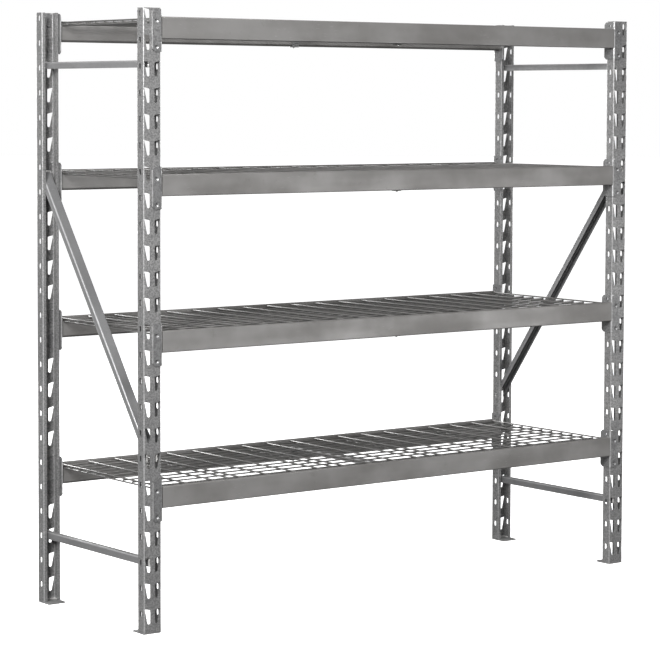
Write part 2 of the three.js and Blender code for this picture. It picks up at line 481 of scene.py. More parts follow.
@dataclass
class FoldedSheet:
    """A flat blank with holes, folded to a section.

    Attributes:
        section: the section that the blank is bent to.
        outline: the blank's outline; u runs along the section and v along the folds.
        holes: closed outlines cut from the blank.
        steps: flats in each bend.
        support: extra lines this far from each bend keep the flats flat.
        edge_rub_and_highlight: width of the rubbed coat along the two cut edges, which is also lightened
            as a painted highlight.
    """

    section: Section
    outline: list[Vector]
    holes: list[list[Vector]] = field(default_factory=list)
    steps: int = 6
    support: float = 0.8 * MM
    edge_rub_and_highlight: float = 0.0

    def add_to(self, shape: Shape, place: Place) -> Shape:
        """Builds the folded sheet.

        Args:
            shape: the shape that receives it.
            place: gives the place in space of a point of the section at a distance v.

        Returns:
            The shape.
        """
        flat, triangles = self._cut_blank()
        located = [self.section.locate(point.x) for point in flat]
        outer = [place(spot, point.y) for (spot, _), point in zip(located, flat)]
        sheet = self.section.sheet
        inner = [place(spot - face * sheet, point.y) for (spot, face), point in zip(located, flat)]
        count = len(flat)
        faces = list(triangles)
        faces += [(c + count, b + count, a + count) for a, b, c in triangles]
        rims = {(a, b) for face in triangles for a, b in zip(face, face[1:] + face[:1])}
        faces += [(b, a, a + count, b + count) for a, b in sorted(rims) if (b, a) not in rims]
        rub = [self._rub(point.x) for point in flat]
        return shape.add_closed(outer + inner, faces, rub * 2)

    def _rub(self, along: float) -> float:
        """Gives how much the coat is rubbed and lightened as a painted highlight: on the bends and along
        the two cut edges.

        Args:
            along: distance along the section.

        Returns:
            A share from 0 to 1.
        """
        for low, high in self.section.bends():
            if low < along < high:
                return math.sin(math.pi * (along - low) / (high - low))
        edge = min(along, self.section.length() - along)
        return 1.0 if edge < self.edge_rub_and_highlight / 2 else 0.0

    def _fold_lines(self) -> list[float]:
        """Gives the lines at which the blank is folded or supported.

        Returns:
            Their distances along the section.
        """
        lines = [self.edge_rub_and_highlight, self.section.length() - self.edge_rub_and_highlight] if self.edge_rub_and_highlight else []
        for low, high in self.section.bends():
            lines.append(low - self.support)
            lines += [low + (high - low) * step / self.steps for step in range(self.steps + 1)]
            lines.append(high + self.support)
        return lines

    def _cut_blank(self) -> tuple[list[Vector], list[tuple[int, int, int]]]:
        """Cuts the blank into triangles that follow its outline, holes and folds.

        Returns:
            The flat points and the triangles between them.
        """
        points: list[Vector] = []
        edges: list[tuple[int, int]] = []
        for loop in [self.outline, *self.holes]:
            start = len(points)
            points.extend(point / MM for point in loop)
            ring = range(len(loop))
            edges.extend((start + index, start + (index + 1) % len(loop)) for index in ring)
        # Fold lines run a millimetre past the blank at both ends.
        low = min(point.y for point in self.outline) / MM - 1
        high = max(point.y for point in self.outline) / MM + 1
        for line in self._fold_lines():
            edges.append((len(points), len(points) + 1))
            points += [Vector((line / MM, low)), Vector((line / MM, high))]
        made, _, found, *_ = delaunay_2d_cdt(points, edges, [], 0, 1e-4, False)
        spans = []
        for hole in self.holes:
            across = [point.x for point in hole]
            upwards = [point.y for point in hole]
            spans.append((min(across), max(across), min(upwards), max(upwards)))
        flat = [Vector(point) * MM for point in made]
        kept = []
        for face in found:
            u = sum(flat[index].x for index in face) / 3
            v = sum(flat[index].y for index in face) / 3
            if not holds(self.outline, u, v):
                continue
            cut = any(
                left < u < right and under < v < over and holds(hole, u, v)
                for (left, right, under, over), hole in zip(spans, self.holes)
            )
            if not cut:
                kept.append(tuple(face))
        used = sorted({index for face in kept for index in face})
        renumber = {index: place for place, index in enumerate(used)}
        triangles = [tuple(renumber[index] for index in face) for face in kept]
        return [flat[index] for index in used], triangles


# ---- Finishes --------------------------------------------------------------


class NodeBench:
    """Adds and joins shader nodes in one node tree."""

    def __init__(self, tree: bpy.types.NodeTree) -> None:
        """Works on the given tree."""
        self.tree = tree

    def node(self, kind: str, **settings: object) -> bpy.types.Node:
        """Adds a node and sets its properties.

        Args:
            kind: Blender's name for the node.
            **settings: properties and their values.

        Returns:
            The node.
        """
        made = self.tree.nodes.new(kind)
        for name, value in settings.items():
            setattr(made, name, value)
        return made

    def feed(self, target: Socket, source: Source) -> None:
        """Joins a socket to a source socket, or sets it to a plain value.

        Args:
            target: the input socket.
            source: the output socket or the value.
        """
        if isinstance(source, Socket):
            self.tree.links.new(source, target)
        else:
            target.default_value = source

    def math(self, operation: str, first: Source, second: Source, clamp: bool = False) -> Socket:
        """Adds a math node.

        Args:
            operation: the node's operation.
            first: first socket or number.
            second: second socket or number.
            clamp: whether the result stays between 0 and 1.

        Returns:
            The output socket.
        """
        made = self.node("ShaderNodeMath", operation=operation, use_clamp=clamp)
        self.feed(made.inputs[0], first)
        self.feed(made.inputs[1], second)
        return made.outputs[0]

    def times(self, first: Source, second: Source, clamp: bool = False) -> Socket:
        """Multiplies two sockets or numbers."""
        return self.math("MULTIPLY", first, second, clamp)

    def plus(self, first: Source, second: Source, clamp: bool = False) -> Socket:
        """Adds two sockets or numbers."""
        return self.math("ADD", first, second, clamp)

    def less(self, first: Source, second: Source, clamp: bool = False) -> Socket:
        """Takes the second socket or number from the first."""
        return self.math("SUBTRACT", first, second, clamp)

    def span(
        self, value: Source, low: float, high: float, to_low: float = 0.0, to_high: float = 1.0
    ) -> Socket:
        """Maps a value from one range to another, softly and clamped.

        Args:
            value: socket to map.
            low: value that gives to_low.
            high: value that gives to_high.
            to_low: result at and below low.
            to_high: result at and above high.

        Returns:
            The output socket.
        """
        made = self.node("ShaderNodeMapRange", interpolation_type="SMOOTHSTEP")
        self.feed(made.inputs["Value"], value)
        made.inputs["From Min"].default_value = low
        made.inputs["From Max"].default_value = high
        made.inputs["To Min"].default_value = to_low
        made.inputs["To Max"].default_value = to_high
        return made.outputs["Result"]

    def blend(self, share: Source, first: Source, second: Source) -> Socket:
        """Mixes two colours.

        Args:
            share: how much of the second one.
            first: first socket or colour.
            second: second socket or colour.

        Returns:
            The output socket.
        """
        # Inputs 6 and 7 and output 2 are the colour sockets of this node.
        made = self.node("ShaderNodeMix", data_type="RGBA")
        self.feed(made.inputs[0], share)
        for target, source in ((made.inputs[6], first), (made.inputs[7], second)):
            self.feed(target, source if isinstance(source, Socket) else (*source, 1.0))
        return made.outputs[2]

    def noise(self, where: Socket, scale: Source, detail: float = 2.0, roughness: float = 0.5) -> Socket:
        """Adds a noise texture.

        Args:
            where: coordinate socket.
            scale: repeats in a metre, a number or a socket.
            detail: octaves of finer noise.
            roughness: strength of the finer octaves.

        Returns:
            The value socket.
        """
        made = self.node("ShaderNodeTexNoise")
        self.feed(made.inputs["Vector"], where)
        self.feed(made.inputs["Scale"], scale)
        made.inputs["Detail"].default_value = detail
        made.inputs["Roughness"].default_value = roughness
        return made.outputs["Fac"]

    def stretched(self, where: Socket, scale: Triple, turn: Triple = (0.0, 0.0, 0.0)) -> Socket:
        """Stretches and turns a coordinate.

        Args:
            where: coordinate socket.
            scale: stretch along each axis.
            turn: turn round each axis, in radians.

        Returns:
            The new coordinate socket.
        """
        made = self.node("ShaderNodeMapping")
        self.feed(made.inputs["Vector"], where)
        made.inputs["Scale"].default_value = scale
        made.inputs["Rotation"].default_value = turn
        return made.outputs["Vector"]


class Effect(Enum):
    """A surface effect that several finishes share."""

    HAMMERED = "Hammered coat"
    SPRAY = "Sprayed coat"
    MARKS = "Handling marks"
    # Worn coat on the bends, also used to paint the highlight that the bends catch.
    RUB = "Rubbed bends"
    DUST = "Settled dust"


def new_group(
    effect: Effect, inputs: dict[str, float], outputs: Sequence[str]
) -> tuple[NodeBench, bpy.types.Node, bpy.types.Node]:
    """Starts a node group with named value sockets and a vector input.

    Args:
        effect: the effect that the group makes.
        inputs: names and usual values of the number inputs.
        outputs: names of the value outputs.

    Returns:
        The bench, the input node and the output node.
    """
    tree = bpy.data.node_groups.new(effect.value, "ShaderNodeTree")
    tree.interface.new_socket("Vector", in_out="INPUT", socket_type="NodeSocketVector")
    for name, value in inputs.items():
        socket = tree.interface.new_socket(name, in_out="INPUT", socket_type="NodeSocketFloat")
        socket.default_value = value
    for name in outputs:
        tree.interface.new_socket(name, in_out="OUTPUT", socket_type="NodeSocketFloat")
    bench = NodeBench(tree)
    return bench, bench.node("NodeGroupInput"), bench.node("NodeGroupOutput")


class EffectShelf:
    """Builds each shared effect once and keeps it for every finish."""

    def __init__(self) -> None:
        """Starts with nothing built."""
        self.built: dict[Effect, bpy.types.NodeTree] = {}
        self.makers: dict[Effect, Callable[[], bpy.types.NodeTree]] = {
            Effect.HAMMERED: self._hammered,
            Effect.SPRAY: self._spray,
            Effect.MARKS: self._marks,
            Effect.RUB: self._rub,
            Effect.DUST: self._dust,
        }

    def place(self, bench: NodeBench, effect: Effect, where: Socket, **values: float) -> bpy.types.Node:
        """Puts an effect into a material.

        Args:
            bench: bench of the material.
            effect: the effect wanted.
            where: coordinate socket.
            **values: values of the group's number inputs.

        Returns:
            The group node.
        """
        if effect not in self.built:
            self.built[effect] = self.makers[effect]()
        node = bench.node("ShaderNodeGroup")
        node.node_tree = self.built[effect]
        bench.feed(node.inputs["Vector"], where)
        for name, value in values.items():
            node.inputs[name].default_value = value
        return node

    def _hammered(self) -> bpy.types.NodeTree:
        """Builds the dimpled skin of a hammered enamel.

        Returns:
            The node group.
        """
        bench, given, result = new_group(Effect.HAMMERED, {"Scale": 260.0}, ("Height", "Fleck"))
        where = given.outputs["Vector"]
        cells = bench.node("ShaderNodeTexVoronoi", feature="SMOOTH_F1")
        bench.feed(cells.inputs["Vector"], where)
        bench.feed(cells.inputs["Scale"], given.outputs["Scale"])
        cells.inputs["Smoothness"].default_value = 0.6
        dimple = bench.span(cells.outputs["Distance"], 0.05, 0.6)
        swell = bench.noise(where, bench.times(given.outputs["Scale"], 0.45), 3.0)
        height = bench.plus(bench.times(dimple, 0.65), bench.times(swell, 0.5))
        grains = bench.noise(where, bench.times(given.outputs["Scale"], 1.3), 1.0)
        bench.feed(result.inputs["Height"], height)
        bench.feed(result.inputs["Fleck"], bench.span(grains, 0.36, 0.66))
        return bench.tree

    def _spray(self) -> bpy.types.NodeTree:
        """Builds the cloudy tone and fine peel of a sprayed coat.

        Returns:
            The node group.
        """
        inputs = {"Cloud Scale": 5.0, "Peel Scale": 420.0}
        bench, given, result = new_group(Effect.SPRAY, inputs, ("Cloud", "Peel"))
        where = given.outputs["Vector"]
        broad = bench.noise(where, given.outputs["Cloud Scale"], 4.0, 0.55)
        passes = bench.stretched(where, (0.35, 1.0, 1.6))
        lap = bench.noise(passes, bench.times(given.outputs["Cloud Scale"], 2.6), 2.0)
        cloud = bench.plus(bench.times(broad, 0.65), bench.times(lap, 0.35))
        bench.feed(result.inputs["Cloud"], bench.span(cloud, 0.33, 0.67))
        bench.feed(result.inputs["Peel"], bench.noise(where, given.outputs["Peel Scale"], 2.0))
        return bench.tree

    def _marks(self) -> bpy.types.NodeTree:
        """Builds the sparse scuffs and scratches of handling and assembly.

        Returns:
            The node group.
        """
        inputs = {"Scale": 30.0, "Amount": 0.5}
        bench, given, result = new_group(Effect.MARKS, inputs, ("Scuff", "Scratch"))
        where = given.outputs["Vector"]
        patch = bench.span(bench.noise(where, given.outputs["Scale"], 5.0, 0.7), 0.6, 0.74)
        along = bench.stretched(where, (0.06, 0.7, 1.0), (0.1, 0.35, 0.0))
        fine = bench.noise(along, bench.times(given.outputs["Scale"], 24.0), 1.0)
        line = bench.span(fine, 0.7, 0.76)
        spread = bench.span(bench.noise(where, 7.0, 1.0), 0.5, 0.68)
        bench.feed(result.inputs["Scuff"], bench.times(patch, given.outputs["Amount"]))
        scratch = bench.times(line, spread)
        bench.feed(result.inputs["Scratch"], bench.times(scratch, given.outputs["Amount"]))
        return bench.tree

    def _rub(self) -> bpy.types.NodeTree:
        """Builds the mask of the thin, rubbed coat on the bends, which also paints the highlight on
        them.

        Returns:
            The node group.
        """
        bench, given, result = new_group(Effect.RUB, {"Amount": 0.5}, ("Mask",))
        held = bench.node("ShaderNodeAttribute", attribute_name=RUB_AND_HIGHLIGHT_ATTRIBUTE)
        patchy = bench.span(bench.noise(given.outputs["Vector"], 55.0, 4.0, 0.6), 0.3, 0.65, 0.45, 1.0)
        mask = bench.times(held.outputs["Fac"], patchy)
        bench.feed(result.inputs["Mask"], bench.times(mask, given.outputs["Amount"], clamp=True))
        return bench.tree

    def _dust(self) -> bpy.types.NodeTree:
        """Builds the mask of the film that settles on surfaces that look up.

        Returns:
            The node group.
        """
        bench, given, result = new_group(Effect.DUST, {"Amount": 0.2}, ("Mask",))
        faces = bench.node("ShaderNodeNewGeometry")
        parts = bench.node("ShaderNodeSeparateXYZ")
        bench.feed(parts.inputs[0], faces.outputs["Normal"])
        up = bench.span(parts.outputs["Z"], 0.55, 0.95)
        film = bench.span(bench.noise(given.outputs["Vector"], 40.0, 5.0, 0.65), 0.35, 0.7)
        mask = bench.times(up, film)
        bench.feed(result.inputs["Mask"], bench.times(mask, given.outputs["Amount"], clamp=True))
        return bench.tree


EFFECTS = EffectShelf()


@dataclass(frozen=True)
class Enamel:
    """A sprayed silver-grey enamel over steel.

    Attributes:
        name: name of the material.
        slot: material slot of the record; not used.
        shade: usual colour.
        deep: colour where the coat lies thick.
        bare_and_highlight: colour where the coat is rubbed thin or scratched, also the colour of the
            painted highlight on the bends.
        metallic: share of metal in the look of the flake.
        roughness: usual roughness.
        hammer: height of the hammered dimples, in metres; 0 leaves the coat smooth.
        hammer_scale: dimples in a metre.
        fleck: how much the dimples vary the tone.
        cloud: how much the tone drifts.
        cloud_scale: clouds in a metre.
        rub: how far the bends are rubbed and lightened by a painted highlight.
        marks: how marked the coat is.
        dust: how much film lies on top.
        film: colour of the film.
        peel: relief of the sprayed peel, as a share of the bump.
        gloss: weight of the clear gloss over the flake.
        gloss_roughness: roughness of that gloss.
    """

    name: str
    slot: str
    shade: Colour
    deep: Colour
    bare_and_highlight: Colour = (0.56, 0.56, 0.56)
    metallic: float = 0.5
    roughness: float = 0.38
    hammer: float = 0.0
    hammer_scale: float = 230.0
    fleck: float = 0.0
    cloud: float = 0.5
    cloud_scale: float = 5.0
    rub: float = 0.35
    marks: float = 0.35
    dust: float = 0.15
    film: Colour = (0.62, 0.6, 0.57)
    peel: float = 0.12
    gloss: float = 0.12
    gloss_roughness: float = 0.25

    @lru_cache(maxsize=None)
    def material(self) -> bpy.types.Material:
        """Builds the material, once.

        Returns:
            The material.
        """
        made, bench, shader = new_material(self.name)
        where = bench.node("ShaderNodeTexCoord").outputs["Object"]
        spray = EFFECTS.place(bench, Effect.SPRAY, where, **{"Cloud Scale": self.cloud_scale})
        marks = EFFECTS.place(bench, Effect.MARKS, where, Amount=self.marks)
        rub = EFFECTS.place(bench, Effect.RUB, where, Amount=self.rub)
        dust = EFFECTS.place(bench, Effect.DUST, where, Amount=self.dust)
        colour = bench.blend(bench.times(spray.outputs["Cloud"], self.cloud), self.shade, self.deep)
        relief = bench.times(spray.outputs["Peel"], self.peel)
        rough = bench.plus(bench.times(spray.outputs["Cloud"], 0.1), self.roughness - 0.05)
        if self.hammer:
            hammered = EFFECTS.place(bench, Effect.HAMMERED, where, Scale=self.hammer_scale)
            speck = bench.times(hammered.outputs["Fleck"], self.fleck)
            colour = bench.blend(speck, colour, self.deep)
            relief = bench.plus(relief, hammered.outputs["Height"])
        # Bends and cut edges turn lighter: worn coat plus a painted highlight.
        colour = bench.blend(rub.outputs["Mask"], colour, self.bare_and_highlight)
        colour = bench.blend(marks.outputs["Scratch"], colour, self.bare_and_highlight)
        colour = bench.blend(marks.outputs["Scuff"], colour, self.deep)
        colour = bench.blend(dust.outputs["Mask"], colour, self.film)
        rough = bench.plus(rough, bench.times(marks.outputs["Scuff"], 0.16))
        rough = bench.plus(rough, bench.times(dust.outputs["Mask"], 0.25))
        rough = bench.less(rough, bench.times(rub.outputs["Mask"], 0.12), clamp=True)
        relief = bench.less(relief, bench.times(marks.outputs["Scratch"], 0.25))
        dress(bench, shader, colour, rough, relief, 0.85, max(self.hammer, 0.12 * MM))
        shader.inputs["Metallic"].default_value = self.metallic
        shader.inputs["Coat Weight"].default_value = self.gloss
        shader.inputs["Coat Roughness"].default_value = self.gloss_roughness
        return made


@dataclass(frozen=True)
class Plating:
    """Bright zinc plate with a fine crystal grain.

    Attributes:
        name: name of the material.
        slot: material slot of the record; not used.
        bright: colour of the light grains.
        dull: colour of the dull grains.
        roughness: usual roughness.
        metallic: share of metal in the look.
    """

    name: str
    slot: str
    bright: Colour = (0.72, 0.72, 0.7)
    dull: Colour = (0.5, 0.5, 0.49)
    roughness: float = 0.3
    metallic: float = 0.9

    @lru_cache(maxsize=None)
    def material(self) -> bpy.types.Material:
        """Builds the material, once.

        Returns:
            The material.
        """
        made, bench, shader = new_material(self.name)
        where = bench.node("ShaderNodeTexCoord").outputs["Object"]
        spray = EFFECTS.place(bench, Effect.SPRAY, where, **{"Cloud Scale": 300.0, "Peel Scale": 2400.0})
        marks = EFFECTS.place(bench, Effect.MARKS, where, Scale=160.0, Amount=0.5)
        colour = bench.blend(spray.outputs["Cloud"], self.bright, self.dull)
        rough = bench.plus(bench.times(spray.outputs["Cloud"], 0.14), self.roughness)
        relief = bench.less(spray.outputs["Peel"], marks.outputs["Scratch"])
        dress(bench, shader, colour, rough, relief, 0.4, 0.05 * MM)
        shader.inputs["Metallic"].default_value = self.metallic
        return made


def new_material(name: str) -> tuple[bpy.types.Material, NodeBench, bpy.types.Node]:
    """Starts a material with one Principled shader.

    Args:
        name: name of the material.

    Returns:
        The material, its bench and the shader node.
    """
    made = bpy.data.materials.new(name)
    made.use_nodes = True
    made.node_tree.nodes.clear()
    bench = NodeBench(made.node_tree)
    shader = bench.node("ShaderNodeBsdfPrincipled")
    output = bench.node("ShaderNodeOutputMaterial")
    bench.feed(output.inputs["Surface"], shader.outputs["BSDF"])
    return made, bench, shader


def dress(
    bench: NodeBench,
    shader: bpy.types.Node,
    colour: Socket,
    rough: Socket,
    relief: Socket,
    strength: float,
    depth: float,
) -> None:
    """Joins a coat's colour, roughness and relief to its shader.

    Args:
        bench: bench of the material.
        shader: the Principled shader.
        colour: colour of the coat.
        rough: roughness of the coat.
        relief: height of its relief, as a share of the depth.
        strength: strength of the bump.
        depth: depth of the bump, in metres.
    """
    bump = bench.node("ShaderNodeBump")
    bump.inputs["Strength"].default_value = strength
    bump.inputs["Distance"].default_value = depth
    bench.feed(bump.inputs["Height"], relief)
    bench.feed(shader.inputs["Base Color"], colour)
    bench.feed(shader.inputs["Roughness"], rough)
    bench.feed(shader.inputs["Normal"], bump.outputs["Normal"])


POST_ENAMEL = Enamel(
    name="hammered_post_enamel",
    slot="frame_paint",
    shade=(0.29, 0.288, 0.286),
    deep=(0.13, 0.13, 0.132),
    hammer=0.5 * MM,
    hammer_scale=150.0,
    fleck=0.75,
    cloud=0.35,
)
BRACE_ENAMEL = Enamel(
    name="hammered_brace_enamel",
    slot="frame_paint",
    shade=(0.24, 0.24, 0.243),
    deep=(0.15, 0.15, 0.152),
    hammer=0.15 * MM,
    fleck=0.25,
    roughness=0.36,
)
BEAM_ENAMEL = Enamel(
    name="smooth_beam_enamel",
    slot="beam_paint",
    shade=(0.253, 0.248, 0.243),
    deep=(0.135, 0.13, 0.124),
    cloud=0.8,
    cloud_scale=4.0,
    roughness=0.38,
)
BRACKET_ENAMEL = Enamel(
    name="hammered_bracket_enamel",
    slot="bracket_paint",
    shade=(0.25, 0.25, 0.25),
    deep=(0.11, 0.11, 0.112),
    hammer=0.45 * MM,
    hammer_scale=150.0,
    fleck=0.7,
    # Strong wear and painted highlight on the bend and cut edges.
    rub=0.9,
)
WIRE_ENAMEL = Enamel(
    name="dipped_wire_enamel",
    slot="wire_paint",
    shade=(0.2, 0.196, 0.192),
    deep=(0.12, 0.117, 0.114),
    metallic=0.7,
    cloud_scale=9.0,
    roughness=0.36,
    dust=0.25,
)
# The welds carry the same paint as the frame; this much lighter tone is a painted highlight on the
# beads.
WELD_HIGHLIGHT_ENAMEL = Enamel(
    name="weld_painted_highlight_enamel",
    slot="frame_paint",
    shade=(0.62, 0.62, 0.61),
    deep=(0.3, 0.29, 0.28),
    metallic=0.3,
    hammer=0.4 * MM,
    fleck=0.4,
    roughness=0.3,
)
SCREW_ZINC = Plating(name="tie_screw_zinc", slot="zinc")

Finish = Enamel | Plating


# ---- Fitting pieces to the frame -------------------------------------------


def fit(shape: Shape, name: str, body: str, finish: Finish, *nodes: str) -> bpy.types.Object:
    """Makes a finished piece and hands it to the frame.

    Args:
        shape: shape of the piece.
        name: name of the piece.
        body: body that the piece moves with.
        finish: what the piece is coated with.
        *nodes: CAD nodes that the piece stands for.

    Returns:
        The piece.
    """
    piece = shape.to_object(name)
    piece.data.materials.append(finish.material())
    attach(piece, body)
    if nodes:
        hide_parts(*nodes)
    log.info("%s: %d faces, %s, on %s", name, len(shape.faces), finish.name, body)
    return piece


# ---- End frames ------------------------------------------------------------


@dataclass
class EndFrame:
    """One welded end frame: two slotted posts, their feet, two level braces and a diagonal.

    Attributes:
        side: which end of the rack it is.
        web, flange, lip, sheet, bend: sizes of the post's section.
        rows: number of slot rows.
        slot_inner, slot_outer, slot_low: slot edges from the middle of the web.
        slot_top, slot_slant, slot_bottom: slot heights below its row.
        flange_slot_from_edge, flange_slot_below: centre of a flange slot.
        flange_slot_wide, flange_slot_tall: size of a flange slot.
        foot_corner, foot_ease: radius of the foot plate's corners and ease of its edges.
        bead_clear, bead_up: places of the foot weld off the post's wall and the plate.
        brace_bend, brace_sheet: bend radius and sheet of the braces.
        diagonal_rise: height from one end of the diagonal to the other.
        diagonal_deep: square height of the diagonal's section.
        weld: radius of a weld bead.
    """

    side: Side
    web: float = 60 * MM
    flange: float = 35 * MM
    lip: float = 12 * MM
    sheet: float = POST_SHEET
    bend: float = 3.6 * MM
    rows: int = 24
    slot_inner: float = 8 * MM
    slot_outer: float = 27.6 * MM
    slot_low: float = 17.3 * MM
    slot_top: float = 0.9 * MM
    slot_slant: float = 4.2 * MM
    slot_bottom: float = 46.4 * MM
    flange_slot_from_edge: float = 16.5 * MM
    flange_slot_below: float = 17 * MM
    flange_slot_wide: float = 10 * MM
    flange_slot_tall: float = 18 * MM
    foot_corner: float = 4 * MM
    foot_ease: float = 0.6 * MM
    bead_clear: float = 0.6 * MM
    bead_up: float = 0.8 * MM
    brace_bend: float = 4.5 * MM
    brace_sheet: float = 1.5 * MM
    diagonal_rise: float = 798 * MM
    diagonal_deep: float = 19 * MM
    weld: float = 2.6 * MM

    def build(self) -> None:
        """Builds and dresses every piece of the end frame."""
        for end in End:
            self._build_post(end)
        for brace in Brace:
            self._build_brace(brace)

    def _node(self, part: str, end: End | None = None) -> str:
        """Gives the CAD node of a part."""
        return "_".join([part, self.side.value[0], *([end.value[0]] if end else [])])

    def _post_section(self) -> Section:
        """Describes the post's section.

        Returns:
            The section, with its web along y = 0 and open towards +Y.
        """
        half = self.web / 2
        return Section(
            start=(self.lip - half, self.flange),
            heading=math.pi,
            runs=(
                self.lip - self.bend,
                self.flange - 2 * self.bend,
                self.web - 2 * self.bend,
                self.flange - 2 * self.bend,
                self.lip - self.bend,
            ),
            turns=(QUARTER,) * 4,
            radius=self.bend,
            sheet=self.sheet,
        )

    def _post_holes(self, section: Section) -> list[list[Vector]]:
        """Gives the tapered web slots and the oblong flange slots of every row.

        Args:
            section: the post's section.

        Returns:
            The outlines to cut from the blank.
        """
        middle = section.length() / 2
        open_edge = section.bends()[3][0] + self.bend
        in_flange = open_edge - self.flange_slot_from_edge - middle
        half_wide, half_tall = self.flange_slot_wide / 2, self.flange_slot_tall / 2
        sharp, soft, full = 1.2 * MM, 3 * MM, 4.2 * MM
        holes = []
        for row in range(1, self.rows + 1):
            top = row * ROW_PITCH - self.slot_top
            bottom = row * ROW_PITCH - self.slot_bottom
            centre = row * ROW_PITCH - self.flange_slot_below
            for hand in (-1, 1):
                slot = (
                    (middle + hand * self.slot_outer, top, sharp),
                    (middle + hand * self.slot_inner, top - self.slot_slant, soft),
                    (middle + hand * self.slot_inner, bottom, full),
                    (middle + hand * self.slot_low, bottom, full),
                )
                holes.append(rounded(slot))
                mid = middle + hand * in_flange
                ends = (mid - half_wide, centre - half_tall, mid + half_wide, centre + half_tall)
                holes.append(rectangle(*ends, half_wide))
        return holes

    def _build_post(self, end: End) -> None:
        """Builds one post with its foot plate and the weld between them.

        Args:
            end: front or back post.
        """
        node, foot_node = self._node("post", end), self._node("foot_plate", end)
        low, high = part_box(node)
        foot_low, foot_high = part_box(foot_node)
        hand = -end.value[1]
        centre_x = (low.x + high.x) / 2
        face_y = low.y if hand > 0 else high.y

        def place(spot: Vector, height: float) -> Vector:
            """Puts a point of the section at a height of this post."""
            return Vector((centre_x + hand * spot.x, face_y + hand * spot.y, height))

        section = self._post_section()
        outline = rectangle(0.0, foot_high.z, section.length(), high.z)
        sheet = FoldedSheet(section, outline, self._post_holes(section))
        fit(sheet.add_to(Shape(), place), f"{node}_channel", FRAME_BODY, POST_ENAMEL, node)

        outline = rectangle(foot_low.x, foot_low.y, foot_high.x, foot_high.y, self.foot_corner)
        plate = Shape().add_plate(outline, foot_low.z, foot_high.z, self.foot_ease)
        fit(plate, f"{foot_node}_plate", FRAME_BODY, POST_ENAMEL, foot_node)

        behind, edge = self.sheet + self.bead_clear, self.flange - self.lip
        inner = self.web / 2 - self.sheet - self.bead_clear
        run = [(-inner, edge), (-inner, behind), (inner, behind), (inner, edge)]
        path = [place(Vector(spot), foot_high.z + self.bead_up) for spot in run]
        bead = Shape().add_bead(path, self.weld * 0.8)
        fit(bead, f"{foot_node}_weld", FRAME_BODY, WELD_HIGHLIGHT_ENAMEL)

    def _build_brace(self, brace: Brace) -> None:
        """Builds one channel brace, open downwards, and the welds at its ends.

        Args:
            brace: which brace it is.
        """
        node = self._node(brace.value)
        low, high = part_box(node)
        centre = (low + high) / 2
        wide, tall = high.x - low.x, high.z - low.z
        slope = 0.0
        if brace is Brace.DIAGONAL:
            tall = self.diagonal_deep
            slope = -self.side.value[1] * self.diagonal_rise / (high.y - low.y)
        stretch = math.hypot(1, slope)
        bend = self.brace_bend
        section = Section(
            start=(wide / 2, -tall / 2),
            heading=QUARTER,
            runs=(tall - bend, wide - 2 * bend, tall - bend),
            turns=(QUARTER, QUARTER),
            radius=bend,
            sheet=self.brace_sheet,
        )

        def place(spot: Vector, along: float) -> Vector:
            """Puts a point of the section at a distance along the brace."""
            height = centre.z + spot.y * stretch + slope * (along - centre.y)
            return Vector((centre.x + spot.x, along, height))

        outline = rectangle(0.0, low.y, section.length(), high.y)
        sheet = FoldedSheet(section, outline, steps=7)
        fit(sheet.add_to(Shape(), place), f"{node}_channel", FRAME_BODY, BRACE_ENAMEL, node)

        beads = Shape()
        stops = 14
        for end_y, inwards in ((low.y, 1), (high.y, -1)):
            path = []
            for stop in range(stops + 1):
                spot, face = section.locate(section.length() * stop / stops)
                path.append(place(spot - face * self.brace_sheet / 2, end_y - inwards * self.weld))
            beads.add_bead(path, self.weld)
        fit(beads, f"{node}_welds", FRAME_BODY, WELD_HIGHLIGHT_ENAMEL)


# ---- Shelf levels ----------------------------------------------------------


